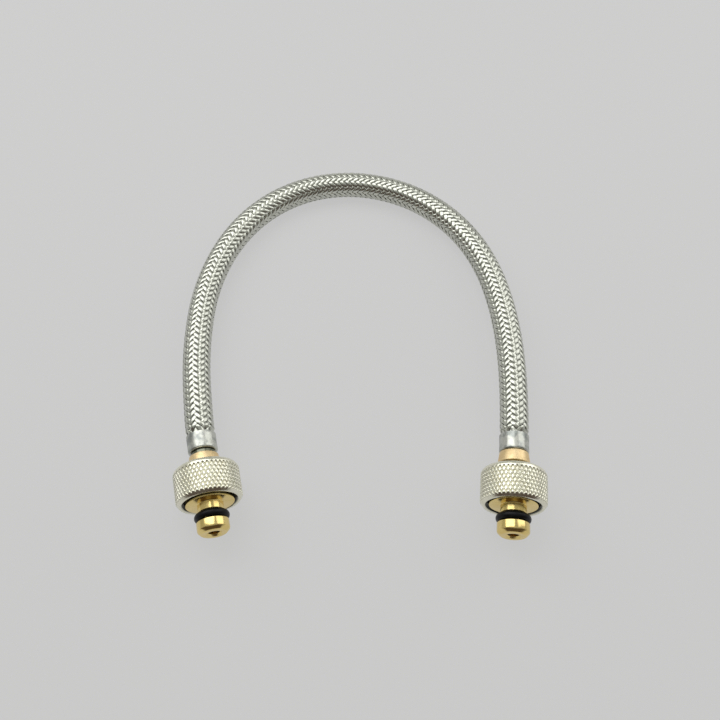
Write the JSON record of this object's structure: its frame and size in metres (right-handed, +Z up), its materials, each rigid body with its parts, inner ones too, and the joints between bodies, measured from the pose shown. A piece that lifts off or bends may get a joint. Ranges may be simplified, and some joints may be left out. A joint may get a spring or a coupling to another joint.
{
  "type": "flexible connector hose",
  "caption": "Braided flexible hose bent in a U, with a captive knurled union nut and an O-ring sealed plug-in spigot on each end.",
  "frame": {"origin": "on the ground, midway between the two end fittings", "axes": "+Z up, +X from the left fitting to the right one, +Y from the fittings towards the hose's bend"},
  "size_m": [0.1555, 0.1884, 0.0276],
  "materials": {
    "braid": "bright stainless wire, woven",
    "liner": "matt black rubber",
    "ferrule": "smooth bright steel",
    "brass": "polished turned brass",
    "collar": "satin pale brass",
    "nickel": "bright nickel plate on brass",
    "seal": "glossy black rubber"
  },
  "bodies": {
    "root": {"wire_braid": "braid", "rubber_liner": "liner", "left_ferrule": "ferrule", "right_ferrule": "ferrule", "left_nipple": "brass", "right_nipple": "brass", "left_collar": "collar", "right_collar": "collar", "left_o_ring": "seal", "right_o_ring": "seal"},
    "left_nut": {"left_union_nut": "nickel"},
    "right_nut": {"right_union_nut": "nickel"}
  },
  "joints": [
    {"name": "left_nut_spin", "type": "hinge", "parent": "root", "child": "left_nut", "pos_m": [-0.06027, -0.00822, 0.01409], "axis": [0.2179, -0.9749, 0.0458], "continuous": true},
    {"name": "right_nut_spin", "type": "hinge", "parent": "root", "child": "right_nut", "pos_m": [0.0618, -0.0098, 0.01416], "axis": [-0.1027, -0.9936, 0.0466], "continuous": true}
  ]
}
